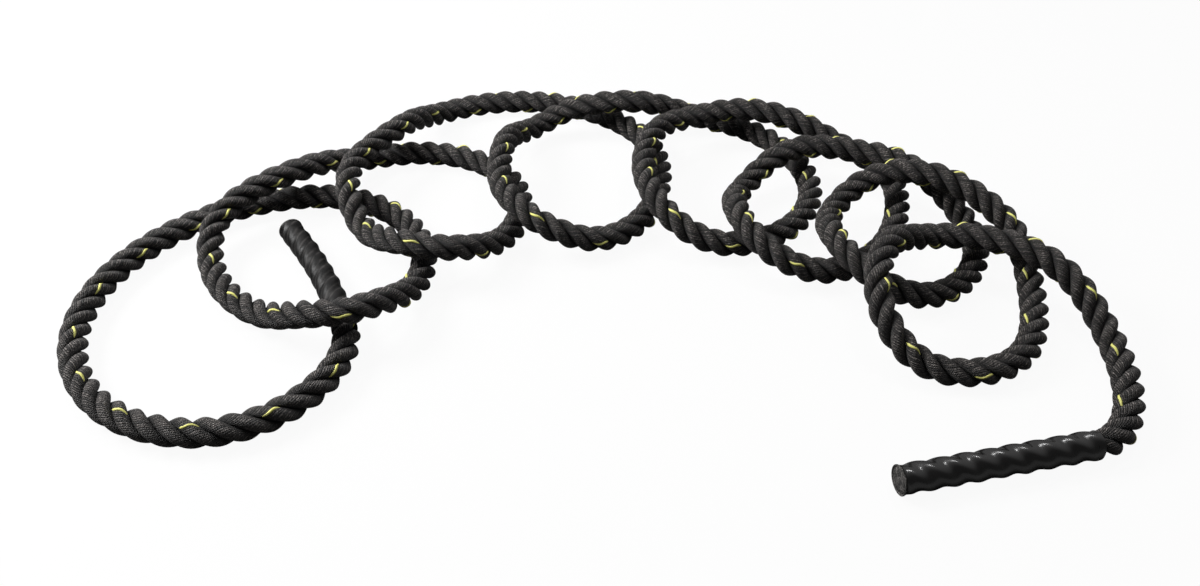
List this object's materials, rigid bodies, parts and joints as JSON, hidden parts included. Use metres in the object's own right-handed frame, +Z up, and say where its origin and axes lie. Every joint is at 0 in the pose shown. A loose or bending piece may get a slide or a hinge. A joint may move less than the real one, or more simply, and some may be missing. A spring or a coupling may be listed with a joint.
{
  "type": "battle rope",
  "caption": "Thick twisted training rope lying in overlapping loops on the floor, with a ribbed grip sleeve and a rimmed end cap on each end.",
  "frame": {"origin": "centre of the whole layout's bounding box, on the floor that the rope lies on", "axes": "+Z up from the floor, +X along the row of loops from the far handle towards the near handle's loop, +Y away from the viewer in the picture"},
  "size_m": [1.3763, 0.87, 0.1019],
  "materials": {
    "rope_black": "black polyester yarn, soft sheen, one yellow tracer yarn",
    "sleeve_black": "glossy black heat-shrunk plastic",
    "plug_grey": "rough dark grey plastic",
    "tape_grey": "dark grey binding tape"
  },
  "bodies": {
    "root": {"rope": "rope_black", "far_handle_sleeve": "sleeve_black", "near_handle_sleeve": "sleeve_black", "far_end_plug": "plug_grey", "near_end_plug": "plug_grey", "far_end_tape": "tape_grey", "near_end_tape": "tape_grey"}
  },
  "joints": []
}
